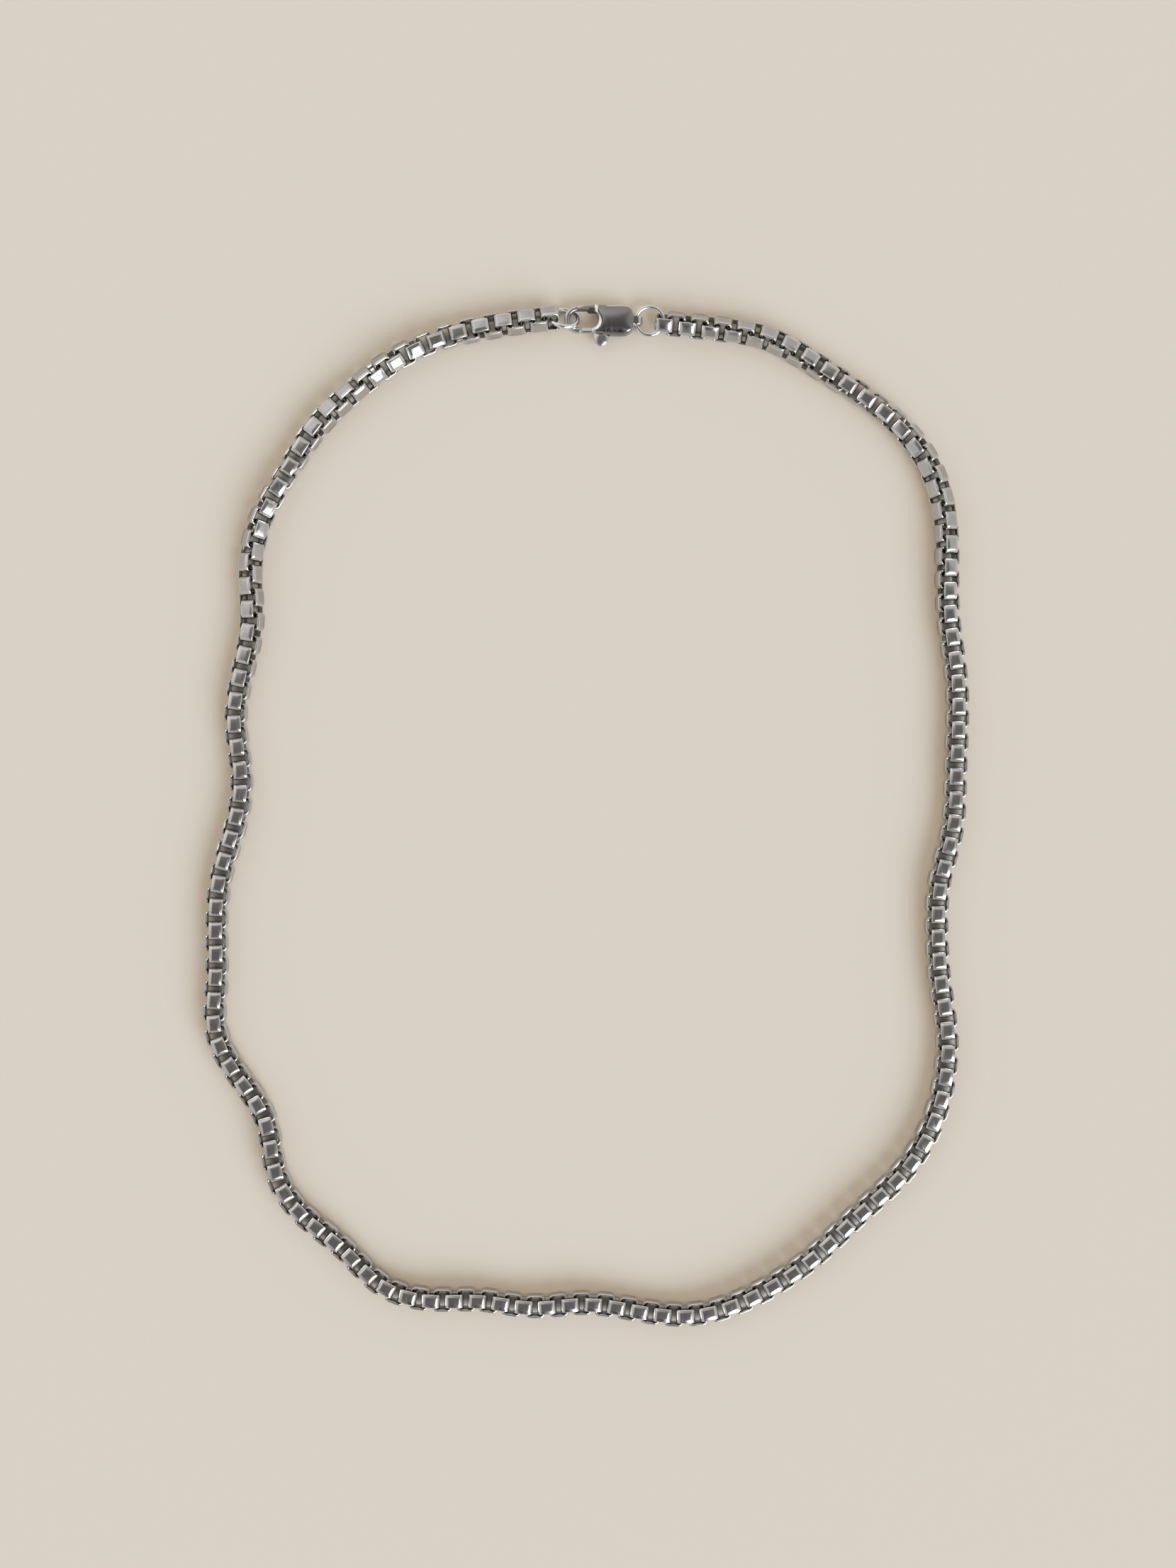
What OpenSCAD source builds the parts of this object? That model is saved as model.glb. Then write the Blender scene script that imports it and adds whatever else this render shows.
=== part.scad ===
// Steel box chain necklace with a lobster clasp, lying closed on a flat surface.
// Millimetres. +Z is up, +Y runs towards the clasp, the loop is centred on X and Y.

/* [Loop] */
// Width of the loop, between the middles of the chain at its two sides
loop_w = 140.5; // [130:0.5:150]
// Length of the loop, from the middle of the hook to the middle of the chain opposite
loop_l = 187.75; // [175:0.25:200]

/* [Link] */
// Width of the flat strip that every link is bent from
strip_w = 2.5; // [1.8:0.1:2.8]
// Thickness of the strip
wall = 0.55; // [0.45:0.05:0.7]
// Inner radius where the strip turns a corner
bend_in = 0.3; // [0.15:0.05:0.5]
// Free travel along the chain between two interlocked links
end_play = 0.33; // [0.3:0.01:0.45]
// Free space each side of a link's strip inside its neighbour
side_play = 0.3; // [0.28:0.01:0.4]
// Gap between two plates that face the same way
plate_gap = 0.75; // [0.6:0.05:1.0]
// Most that a link swings off the line of the chain, in degrees
sway = 0.3; // [0:0.1:1]
// Most that a link turns about the line of the chain, in degrees
twist = 0.4; // [0:0.1:1]

/* [Jump rings] */
// Outside diameter of a jump ring
ring_od = 6; // [5.6:0.1:6.4]
// Diameter of its wire
ring_wire = 0.85; // [0.7:0.05:1]
// Room between the wire and the end wall of the link that it holds
ring_room = 0.66; // [0.55:0.01:0.7]
// Lean of the left ring where it climbs through the hook, in degrees
left_lean = 40; // [37:1:43]
// Rise of the left ring towards the chain, in degrees
left_rise = 11.5; // [9:0.5:13]
// Lean of the right ring in the lug, in degrees
right_lean = 10; // [6:1:12]
// How far the left ring has slid along the hook's opening
left_slack = 1.0; // [0.9:0.05:1.05]

/* [Clasp hook] */
// Width of the hook's bar, seen from above
hook_bar = 1.1; // [0.9:0.05:1.2]
// Thickness of the hook's bar at its round end
hook_thick = 1.3; // [1:0.05:1.4]
// Thickness of the hook's bar where it leaves the body
root_thick = 2.6; // [1.6:0.1:3]
// Radius of the rounding on the hook's bar
hook_soft = 0.4; // [0.2:0.05:0.45]
// Width of the opening inside the hook
eye_w = 3; // [2.9:0.1:3.4]
// Length of the opening inside the hook
eye_len = 5.2; // [4.8:0.1:6]
// Radius of the opening's corners at the body
eye_corner = 1.4; // [0.8:0.05:1.45]
// How far the hook's tip runs on past its round end
hook_tip = 0.42; // [0.2:0.02:0.6]

// Width of the flat rim around the opening, where it runs into the body
rim_w = 0.7; // [0.4:0.05:0.9]
// Thickness of the body at that rim
rim_thick = 2.1; // [1.9:0.05:2.4]

/* [Clasp body] */
// Length of the body behind the opening
body_len = 6.9; // [6.4:0.1:8]
// Width of the body
body_w = 5.8; // [5.4:0.1:6.4]
// Thickness of the body at its crown
body_thick = 3.8; // [3.4:0.1:4.2]
// Thickness left at the body's long edges
edge_thick = 1.7; // [1.6:0.05:2.2]
// Thickness left at the body's ends
end_thick = 2.2; // [1.8:0.1:2.6]
// Radius of the body's corners at the lug
body_corner = 2.5; // [1.8:0.1:2.7]
// How far the body's middle line lies below the hook's
body_drop = 0.25; // [0:0.05:0.4]
// How far the body's cheeks reach forward beside the opening and over the lever
cheek_len = 1.2; // [0.2:0.05:1.3]
// Width of the lug that holds the right ring
lug_w = 1.7; // [1.5:0.1:2]
// Radius of the hole in the lug
lug_hole_r = 0.75; // [0.7:0.05:0.9]
// How far the lug's hole is let into the end of the body
lug_in = 0.35; // [0.2:0.05:0.45]
// Metal around the hole in the lug
lug_wall = 0.4; // [0.3:0.05:0.6]

/* [Lever] */
// Thickness of the sprung lever
lever_thick = 1.1; // [0.8:0.05:1.1]
// Room between the lever and the metal around it
lever_room = 0.12; // [0.1:0.01:0.15]
// Room between the lever's end and the hook's tip
tip_room = 0.2; // [0.18:0.01:0.25]
// Angle through which the lever opens, in degrees
lever_swing = 18; // [12:1:18]
// Distance of the lever's pin behind the opening
pin_back = 2.7; // [2.4:0.1:3.2]
// Radius of the lever's hub around its pin
hub_r = 0.95; // [0.8:0.05:1.05]
// Radius of the pin
pin_r = 0.4; // [0.3:0.05:0.5]
// Depth of each blind seat that holds an end of the pin
pin_seat = 0.58; // [0.4:0.02:0.7]
// Running room around the pin in the lever
pin_room = 0.05; // [0.03:0.01:0.08]
// Length of the thumb tab along the clasp
tab_len = 3; // [2.4:0.1:3.2]
// Distance of the thumb tab's middle in front of the pin
tab_back = 2.1; // [1.9:0.1:2.3]
// How far the thumb tab stands out beyond the body
tab_out = 1.9; // [1.4:0.1:2.4]

/* [Hidden] */
$fn = 48;

// Places along the chain between its end links: X, Y and the roll of the plates in degrees.
// They follow the lie of the chain, clockwise from the clasp's lug, about the middle of the loop.
ROUTE = [
    [24.5, 91.5, -43], [34.5, 90, -63], [43, 84.5, -81], [51, 79.5, -98], [59, 73.5, -114],
    [65, 65.5, -131], [67.5, 56, -149], [67.5, 46, -165], [67.5, 36.5, -176], [69.5, 26.5, -180],
    [69.5, 17, -178], [69, 7, -184], [69, -3, -180], [65.5, -12.5, -175], [65.5, -22, -181],
    [66, -32, -178], [68, -41.5, -184], [67, -51.5, -179], [64, -60.5, -176], [58.5, -68.5, -182],
    [50.5, -75, -180], [44, -82, -186], [36.5, -87.5, -180], [28, -92, -178], [19, -94.5, -180],
    [9, -93, -180], [-0.5, -91, -180], [-10.5, -93, -180], [-20, -90.5, -180], [-30, -91.5, -177],
    [-39.5, -89, -184], [-45.5, -81, -178], [-54, -75.5, -180], [-59.5, -67.5, -186], [-59.5, -57, -180],
    [-65.5, -49.5, -177], [-71, -41, -182], [-69.5, -31, -180], [-70, -21, -185], [-69.5, -11.5, -179],
    [-66, -2, -180], [-64.5, 7.5, -184], [-67, 17.5, -180], [-65, 27, -177], [-62.5, 36.5, -165],
    [-64, 46, -144], [-62, 56, -120], [-56.5, 64.5, -98], [-51.5, 73, -78], [-44.5, 79.5, -57],
    [-36.5, 86, -33], [-27.5, 90, -8], [-18, 92, 13]
];
// Middle of the hook's round end, in the same plan as the route
HOOK_AT = [-1.85, 93.25];
// Roll of the plates of the first and the last link
FIRST_ROLL = -25;
LAST_ROLL = 35;
// How far the end links hang below the middles of their rings, in the plan
FIRST_DROP = 0.55;
LAST_DROP = 0.15;
// How far the middle of the left ring lies above the middle of the hook, in the plan
LEFT_UP = 0.25;
// Share of the right ring's bow inside the lug that lies towards the body
LUG_SHARE = 0.9;
// Samples between two places of the route
STEPS = 12;
// Seed for the small uneven turns of the links
SEED = 7;
// Overlap that lets two cuts run into each other
OVER = 1;

// Sizes of a link
link_across = strip_w + 2 * (wall + side_play);
link_len = plate_gap + 4 * wall + 2 * end_play;
bend_out = bend_in + wall;
pitch_wanted = link_len - 2 * wall - end_play;
ring_r = (ring_od - ring_wire) / 2;
wire_r = ring_wire / 2;
// Distance from the middle of an end link to the middle of the wire that it holds
wire_seat = link_len / 2 - wall - wire_r - ring_room;

// The route and the hook, stretched to the wanted loop
route_x = [for (p = ROUTE) p[0]];
route_y = [for (p = ROUTE) p[1]];
stretch = [loop_w / (max(route_x) - min(route_x)), loop_l / (HOOK_AT[1] - min(route_y))];
route = [for (p = ROUTE) [p[0] * stretch[0], p[1] * stretch[1], p[2]]];
hook_at = [HOOK_AT[0] * stretch[0], HOOK_AT[1] * stretch[1]];

// Sizes of the clasp, with the middle of the hook's round end at its origin
hook_in = eye_w / 2;
hook_mid = hook_in + hook_bar / 2;
eye_end = eye_len - hook_in;
body_end = eye_end + body_len;
body_start = eye_end - cheek_len;
body_mid = (body_start + body_end) / 2;
lug_at = body_end + lug_hole_r - lug_in;
slot_thick = lever_thick + 2 * lever_room;
gate_start = hook_tip + tip_room;
pivot = [eye_end + pin_back, hub_r - hook_mid - hook_bar / 2];
tab_mid = pivot[0] - tab_back;
tab_low = -body_drop - body_w / 2 - tab_out;
pin_len = slot_thick + 2 * pin_seat - 2 * pin_room;

// Where the rings lie: the left one rests on the surface, the right one hangs in the lug
left_sink = sqrt(1 - pow(cos(left_lean) * cos(left_rise), 2));
left_reach = ring_r * cos(left_rise);
ring_left_at = [
    hook_at[0] - hook_in + left_slack + wire_r - left_reach,
    hook_at[1] + LEFT_UP,
    ring_r * left_sink + wire_r
];
lug_bow = (ring_r - sqrt(pow(ring_r, 2) - pow(lug_w / 2, 2))) * LUG_SHARE;
ring_right_at = [
    hook_at[0] + lug_at - lug_bow + ring_r,
    hook_at[1] - body_drop,
    body_thick / 2
];

// The whole route, with the end links hung on their rings
first_link = [ring_right_at[0] + ring_r + wire_seat, ring_right_at[1] - FIRST_DROP, FIRST_ROLL];
last_link = [ring_left_at[0] - left_reach - wire_seat, ring_left_at[1] - LAST_DROP, LAST_ROLL];
places = concat([first_link], route, [last_link]);

// Smooth curve near the places: a uniform cubic B-spline that starts and ends on its end places
function blend(a, b, c, d, u) =
    (pow(1 - u, 3) * a + (3 * pow(u, 3) - 6 * pow(u, 2) + 4) * b
    + (1 + 3 * u + 3 * pow(u, 2) - 3 * pow(u, 3)) * c + pow(u, 3) * d) / 6;
last_place = len(places) - 1;
held = concat(
    [2 * places[0] - places[1]],
    places,
    [2 * places[last_place] - places[last_place - 1]]
);
curve = concat(
    [for (i = [1 : last_place], k = [0 : STEPS - 1])
        blend(held[i - 1], held[i], held[i + 1], held[i + 2], k / STEPS)],
    [places[last_place]]
);
function plan(p) = [p[0], p[1]];
run = [for (i = 0, s = 0; i < len(curve);
    s = s + (i + 1 < len(curve) ? norm(plan(curve[i + 1]) - plan(curve[i])) : 0), i = i + 1) s];
run_x = [for (i = [0 : len(curve) - 1]) [run[i], curve[i][0]]];
run_y = [for (i = [0 : len(curve) - 1]) [run[i], curve[i][1]]];
run_roll = [for (i = [0 : len(curve) - 1]) [run[i], curve[i][2]]];
chain_len = run[len(run) - 1];

// An odd number of links, so that both end links face the same way along the chain
half_links = round(chain_len / pitch_wanted / 2);
link_count = 2 * half_links + 1;
// The link near the middle of the chain that lies exactly flat
flat_link = 2 * round(half_links / 2);
pitch = chain_len / (link_count - 1);
shake = rands(-1, 1, 2 * link_count, SEED);

// Height of a link's middle when a pair with this roll rests on the surface
function rest_height(roll) = max(
    link_across / 2 * abs(cos(roll)) + strip_w / 2 * abs(sin(roll)),
    link_across / 2 * abs(sin(roll)) + strip_w / 2 * abs(cos(roll))
);
function place(s) = [lookup(s, run_x), lookup(s, run_y), rest_height(lookup(s, run_roll))];

// Each link: its middle, then its turns about X, Y and Z
function lie(i, s, a, b, loose) = [
    place(s),
    [
        (i % 2) * 90 - lookup(s, run_roll) - loose * twist * shake[2 * i],
        -atan2(b[2] - a[2], norm(plan(b) - plan(a))),
        atan2(b[1] - a[1], b[0] - a[0]) + loose * sway * shake[2 * i + 1]
    ]
];
links = [for (i = [0 : link_count - 1])
    lie(
        i,
        i * pitch,
        place(max(0, (i - 0.5) * pitch)),
        place(min(chain_len, (i + 0.5) * pitch)),
        i == 0 || i == flat_link || i == link_count - 1 ? 0 : 1
    )];

// How far a turned link reaches from its middle in the direction of row axis k
function turn_x(t) = [cos(t[2]) * cos(t[1]), sin(t[2]) * cos(t[1]), -sin(t[1])];
function turn_y(t) = [
    cos(t[2]) * sin(t[1]) * sin(t[0]) - sin(t[2]) * cos(t[0]),
    sin(t[2]) * sin(t[1]) * sin(t[0]) + cos(t[2]) * cos(t[0]),
    cos(t[1]) * sin(t[0])
];
function turn_z(t) = [
    cos(t[2]) * sin(t[1]) * cos(t[0]) + sin(t[2]) * sin(t[0]),
    sin(t[2]) * sin(t[1]) * cos(t[0]) - cos(t[2]) * sin(t[0]),
    cos(t[1]) * cos(t[0])
];
function link_reach(t, k) =
    (link_len / 2 - bend_out) * abs(turn_x(t)[k])
    + (link_across / 2 - bend_out) * abs(turn_z(t)[k])
    + bend_out * norm([turn_x(t)[k], turn_z(t)[k]])
    + strip_w / 2 * abs(turn_y(t)[k]);
chain_high = [for (k = [0 : 2]) max([for (l = links) l[0][k] + link_reach(l[1], k)])];
chain_low = [for (k = [0 : 2]) min([for (l = links) l[0][k] - link_reach(l[1], k)])];

// The part's box, which sets its origin at the middle of its underside
function ring_top(at, t) = at[1] + ring_r * norm([turn_x(t)[1], turn_y(t)[1]]) + wire_r;
left_turn = [-left_lean, left_rise, 0];
right_turn = [right_lean, 0, 0];
clasp_top = hook_at[1] + max(hook_mid + hook_bar / 2, body_w / 2 - body_drop);
top_y = max(
    chain_high[1],
    clasp_top,
    ring_top(ring_left_at, left_turn),
    ring_top(ring_right_at, right_turn)
);
shift = [-(chain_high[0] + chain_low[0]) / 2, -(top_y + chain_low[1]) / 2, 0];
clasp_at = [hook_at[0], hook_at[1], body_thick / 2];

// Outline of a flat plate with round corners, centred
module rounded_plate(l, w, r) {
    square([l - 2 * r, w], center = true);
    square([l, w - 2 * r], center = true);
    for (x = [-1, 1], y = [-1, 1])
        translate([x * (l / 2 - r), y * (w / 2 - r)])
            circle(r);
}

// One link: the strip closed into a rounded rectangle
module link() {
    rotate([90, 0, 0])
        linear_extrude(strip_w, center = true)
            difference() {
                rounded_plate(link_len, link_across, bend_out);
                rounded_plate(link_len - 2 * wall, link_across - 2 * wall, bend_in);
            }
}

// The whole chain, each link turned a quarter from the one before
module box_chain() {
    color("silver")
        translate(shift - [0, 0, chain_low[2]])
            for (l = links)
                translate(l[0])
                    rotate(l[1])
                        link();
}

// A closed ring of round wire
module jump_ring() {
    rotate_extrude()
        translate([ring_r, 0])
            circle(wire_r);
}

module ring_left() {
    color("silver")
        translate(shift + ring_left_at)
            rotate(left_turn)
                jump_ring();
}

module ring_right() {
    color("silver")
        translate(shift + ring_right_at)
            rotate(right_turn)
                jump_ring();
}

// The hook's bar: its round end, its tip, and the long side that swells towards the body
module hook() {
    rotate([0, 0, 90])
        rotate_extrude(angle = 180)
            translate([hook_mid, 0])
                rounded_plate(hook_bar, hook_thick, hook_soft);
    translate([0, -hook_mid, 0])
        rotate([90, 0, 90])
            linear_extrude(hook_tip)
                rounded_plate(hook_bar, hook_thick, hook_soft);
    translate([0, hook_mid + hook_bar / 2, 0])
        rotate([90, 0, 0])
            linear_extrude(hook_bar)
                polygon([
                    [0, -hook_thick / 2],
                    [body_start + OVER, -root_thick / 2],
                    [body_start + OVER, root_thick / 2],
                    [0, hook_thick / 2]
                ]);
}

// Body seen from above, tapered below the opening and rounded at the lug
module body_outline() {
    polygon([
        [body_start, hook_mid + hook_bar / 2],
        [body_start, -hook_mid - hook_bar / 2],
        [pivot[0], -body_drop - body_w / 2],
        [body_end - body_corner, -body_drop - body_w / 2],
        [body_end - body_corner, -body_drop + body_w / 2]
    ]);
    translate([0, -body_drop])
        for (y = [-1, 1])
            translate([body_end - body_corner, y * (body_w / 2 - body_corner)])
                circle(body_corner);
    translate([body_end - 2 * body_corner, -body_drop - body_w / 2 + body_corner])
        square([2 * body_corner, body_w - 2 * body_corner]);
}

// Pillow between two round faces, full thickness at its middle, along Y
module pillow(span, rim, reach) {
    bulge = (body_thick - rim) / 2;
    face_r = (pow(span / 2, 2) + pow(bulge, 2)) / (2 * bulge);
    intersection_for(side = [-1, 1])
        translate([0, 0, side * (body_thick / 2 - face_r)])
            rotate([90, 0, 0])
                cylinder(reach, face_r, face_r, center = true, $fn = 96);
}

module body_block() {
    intersection() {
        linear_extrude(body_thick, center = true)
            body_outline();
        translate([body_mid, 0, 0])
            pillow(body_end - body_start, end_thick, 2 * body_w);
        translate([body_mid, -body_drop, 0])
            rotate([0, 0, 90])
                pillow(body_w, edge_thick, 2 * body_len);
    }
}

// Lug behind the body, with its hole across the clasp
module lug() {
    translate([lug_at, -body_drop, 0])
        rotate([90, 0, 0])
            cylinder(lug_w, lug_hole_r + lug_wall, lug_hole_r + lug_wall, center = true);
    translate([body_end - OVER, -body_drop - lug_w / 2, -lug_hole_r - lug_wall])
        cube([lug_at - body_end + OVER, lug_w, 2 * (lug_hole_r + lug_wall)]);
}

// What is taken off above and below the opening, so that a flat rim runs round its end
module rim_cut() {
    for (side = [-1, 1])
        translate([eye_end / 2 - hook_in / 2, 0, side * (rim_thick + body_thick) / 2])
            linear_extrude(body_thick, center = true)
                rounded_plate(eye_len + 2 * rim_w, eye_w + 2 * rim_w, eye_corner);
}

// Space that the lever sweeps inside the body
module lever_slot() {
    clear_r = hub_r + lever_room;
    edge = [pivot[0] + clear_r * sin(lever_swing), pivot[1] + clear_r * cos(lever_swing)];
    run_back = edge[0] - gate_start;
    tab_side = tab_mid + tab_len / 2 + lever_room;
    under_hub = pivot[1] - clear_r;
    linear_extrude(slot_thick, center = true) {
        translate(pivot)
            circle(clear_r);
        polygon([
            edge,
            [gate_start, edge[1] + run_back * tan(lever_swing)],
            [gate_start, tab_low - OVER],
            [tab_side, tab_low - OVER],
            [tab_side, under_hub],
            [pivot[0], under_hub],
            pivot
        ]);
    }
}

module clasp_body() {
    color("lightgray")
        translate(shift + clasp_at)
            difference() {
                union() {
                    hook();
                    body_block();
                    lug();
                }
                translate([eye_end / 2 - hook_in / 2, 0, 0])
                    linear_extrude(body_thick + OVER, center = true)
                        rounded_plate(eye_len, eye_w, eye_corner);
                rim_cut();
                lever_slot();
                translate([pivot[0], pivot[1], 0])
                    cylinder(slot_thick + 2 * pin_seat, pin_r + pin_room / 2, pin_r + pin_room / 2,
                        center = true);
                translate([lug_at, -body_drop, 0])
                    rotate([90, 0, 0])
                        cylinder(lug_w + OVER, lug_hole_r, lug_hole_r, center = true);
            }
}

// Sprung lever: the gate that closes the hook, its hub on the pin and the thumb tab
module clasp_lever() {
    color("gainsboro")
        translate(shift + clasp_at)
            linear_extrude(lever_thick, center = true)
                difference() {
                    union() {
                        translate([gate_start, -hook_mid - hook_bar / 2])
                            square([pivot[0] - gate_start, hook_bar]);
                        translate(pivot)
                            circle(hub_r);
                        translate([tab_mid - tab_len / 2, tab_low + tab_len / 2])
                            square([tab_len, -hook_mid - tab_low - tab_len / 2]);
                        translate([tab_mid, tab_low + tab_len / 2])
                            circle(tab_len / 2);
                    }
                    translate(pivot)
                        circle(pin_r + pin_room);
                }
}

// Pin that the lever turns on, blind at both ends
module lever_pin() {
    color("darkgray")
        translate(shift + clasp_at + [pivot[0], pivot[1], 0])
            cylinder(pin_len, pin_r, pin_r, center = true);
}

box_chain();
ring_left();
ring_right();
clasp_body();
clasp_lever();
lever_pin();
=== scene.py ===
import math

import bpy
import numpy as np
from mathutils import Matrix, Vector


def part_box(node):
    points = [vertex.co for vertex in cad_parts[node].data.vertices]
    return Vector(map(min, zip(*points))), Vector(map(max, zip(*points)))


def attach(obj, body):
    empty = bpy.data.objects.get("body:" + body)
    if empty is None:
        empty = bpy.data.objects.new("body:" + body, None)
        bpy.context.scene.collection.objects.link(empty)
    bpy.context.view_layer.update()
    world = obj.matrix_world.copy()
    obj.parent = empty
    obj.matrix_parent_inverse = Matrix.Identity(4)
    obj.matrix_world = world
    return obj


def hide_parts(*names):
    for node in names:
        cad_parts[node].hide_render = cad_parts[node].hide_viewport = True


# Box chain necklace with a lobster clasp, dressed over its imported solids. Lengths are in metres
# unless a name ends in _mm. The chain lies on z = 0 and +Y runs up the loop to the clasp.

MM = 0.001

# The strip that the links are bent from, and how each flat plate of a link falls away and where the
# painted dark reflection in its middle fades
STRIP_WIDTH = 2.5 * MM
STRIP_THICKNESS = 0.55 * MM
LINK_LENGTH = 3.61 * MM
LINK_ACROSS = 4.2 * MM
BEND_RADIUS = 0.575 * MM
EDGE_EASE = 0.14 * MM
BEND_FACES = 2
EDGE_FACES = 1
WELD = 0.01 * MM
PLATE_FLAT = 0.42
PLATE_FALL = 0.12 * MM
PLATE_CORNER = 0.15
INNER_SIDE = 0.6
TONE_SEED = 5

# The clasp, in millimetres about the middle of its hook's round end
HOOK_MIDLINE_MM = 2.05
HOOK_HALF_BAR_MM = 0.55
HOOK_HALF_THICK_MM = 0.65
ROOT_HALF_THICK_MM = 1.3
HOOK_SOFT_MM = 0.45
EYE_LEFT_MM = -1.5
EYE_RIGHT_MM = 3.7
EYE_HALF_WIDTH_MM = 1.5
EYE_CORNER_MM = 1.4
EYE_FLARE = 0.17
RIM_HALF_THICK_MM = 1.05
RIM_DIP_MM = 0.34
RIM_ROUND_MM = (2.63, -0.43, 1.8)
RIM_TOP_MM = (3.71, 0.5)
RIM_SLOPE_MM = 0.6
LEDGE_MM = (1.5, 3.9, 1.12)
LEDGE_MIDDLE_MM = 1.6
LEDGE_HALF_WIDTH_MM = 0.5
LEDGE_HALF_THICK_MM = 0.25
LEDGE_RISE = 0.45
LEDGE_FOOT_MM = 0.8
RECESS_MM = (1.6, 3.3, 2.12)
BODY_START_MM = 2.5
BODY_END_MM = 10.6
BODY_HALF_WIDTH_MM = 2.9
BODY_DROP_MM = 0.25
BODY_HALF_THICK_MM = 1.9
BODY_HALF_EDGE_MM = 0.85
BODY_HALF_END_MM = 1.1
BODY_CORNER_MM = 2.5
LUG_MIDDLE_MM = 11.0
LUG_RADIUS_MM = 1.15
LUG_HOLE_MM = 0.75
LUG_HALF_WIDTH_MM = 0.85
PIVOT_MM = (6.4, -1.65)
HUB_RADIUS_MM = 0.95
SLOT_HALF_MM = 0.67
LEVER_HALF_MM = 0.55
LEVER_ROOM_MM = 0.12
LEVER_SWING = math.radians(18)
HOOK_TIP_MM = 0.42
GATE_START_MM = 0.62
TAB_MIDDLE_MM = 4.3
TAB_HALF_MM = 1.5
TAB_LOW_MM = -5.05
TAB_FALL_MM = 0.42
TAB_BEND_MM = (-2.9, 2.15)
GATE_RIDGE_MM = -2.28
GATE_SOFT_MM = 0.38
GATE_SLOPES = (0.42, -0.6)

# How softly the clasp's forms run into one another, in millimetres
SLOT_EASE_MM = 0.05
LEDGE_EASE_MM = 0.06
EYE_EASE_MM = 0.08
RIM_EASE_MM = 0.09
CUT_EASE_MM = 0.12
ROOT_EASE_MM = 0.2
FLANK_EASE_MM = 0.3
SHELL_EASE_MM = 0.5
HUB_EASE_MM = 0.15
LUG_EASE_MM = 0.25

# The boxes that the castings are skinned in, and the size of a step there
BODY_BOX_MM = ((-2.8, -3.4, -2.1), (12.4, 2.9, 2.1))
BODY_STEP_MM = 0.07
LEVER_BOX_MM = ((0.4, -5.3, -0.8), (7.5, -0.5, 0.8))
LEVER_STEP_MM = 0.08
SETTLE_ROUNDS = 3

# Where the painted dark reflection, painted highlight and painted shade on the clasp end, and over
# which lengths they fade
SHELL_EDGE_MM = 1.15
SHELL_EDGE_FADE_MM = 0.15
RIM_START_MM = 2.4
RIM_LOW_MM = 0.65
EYE_WALL_FADE_MM = 0.14

# Jump rings: how far round each seam is, and how the wire is pinched beside a seam
RING_RADIUS = 2.575 * MM
WIRE_RADIUS = 0.425 * MM
RING_FACES = 120
WIRE_FACES = 24
RINGS = (("left_ring", "ring_left", 3.9), ("right_ring", "ring_right", 2.6))
SEAM = ((-0.02, 0), (-0.006, 0.02), (0, 0.09), (0.006, 0.02), (0.02, 0))
SEAM_REACH = 0.03

# Each metal: its bright and its shaded tone, its roughness where smooth and where dull, its waves
METALS = {
    "chain steel": ((0.82, 0.815, 0.81), (0.68, 0.675, 0.67), 0.16, 0.22, 3.0),
    "clasp steel": ((0.64, 0.635, 0.63), (0.54, 0.535, 0.53), 0.13, 0.2, 1.5),
    "lever steel": ((0.64, 0.63, 0.62), (0.54, 0.53, 0.52), 0.12, 0.22, 1.0),
    "ring steel": ((0.82, 0.815, 0.81), (0.72, 0.715, 0.71), 0.1, 0.18, 0.0),
    "pin steel": ((0.5, 0.5, 0.5), (0.4, 0.4, 0.4), 0.25, 0.4, 0.0),
}
# Painted dark reflection in the middle of each link's flat plates, and how much of it is laid on
PLATE_PAINTED_REFLECTION = (0.4, 0.397, 0.394)
PLATE_REFLECTION_SHARE = 0.85
LINK_TONE = (0.54, 0.535, 0.53)
LINK_SHARE = 0.55
# Darker tone laid on the faces inside each link
INSIDE_TONE = (0.33, 0.32, 0.305)
# Painted dark reflection on the clasp's domed shell
DOME_PAINTED_REFLECTION = (0.28, 0.275, 0.27)
# Painted highlight on the rim's slope and on the shell's upper edge
RIM_PAINTED_HIGHLIGHT = (0.92, 0.915, 0.91)
# Painted shade on the walls of the opening and in the recess beside it
EYE_PAINTED_SHADE = (0.2, 0.19, 0.18)

# Polishing hairs run in three directions, long and thin; a share is the part of a noise in which
# a hair or a dull cloud comes up
HAIR_TURNS = ((0.1, 0.2, 0.5), (0.3, -0.2, -0.7), (-0.4, 0.1, 1.3))
HAIR_STRETCH = (1.0, 0.06, 0.3)
HAIR_SHARE = (0.62, 0.72)
HAIR_DULLING = 0.35
HAIR_STRENGTH = 0.2
CLOUD_SHARE = (0.35, 0.75)
POLISH_STRENGTH = 0.25
POLISH_LIFT = 0.01 * MM

# The photograph: pixels to a millimetre at the chain's middle height, and the camera's height
PIXELS_PER_MM = 7.5
FRAME_PIXELS = (1659, 2212)
CAMERA_HEIGHT = 0.4
CHAIN_MIDDLE_HEIGHT = 2.1 * MM
VIEW_CENTRE = (0.372 * MM, 5.87 * MM)

# The pale paper and its painted light, a warm glow of its own that lifts and warms its shadows: how
# far it looks for open sky, and the shares of it at which the glow starts and is full
FLOOR_HALF = 1.5
PAPER_TONE = (0.455, 0.482, 0.5, 1)
PAINTED_GLOW_TONE = (0.2, 0.12, 0.035, 1)
PAINTED_GLOW_REACH = 5 * MM
PAINTED_GLOW_OPEN = (0.15, 0.5)

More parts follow.
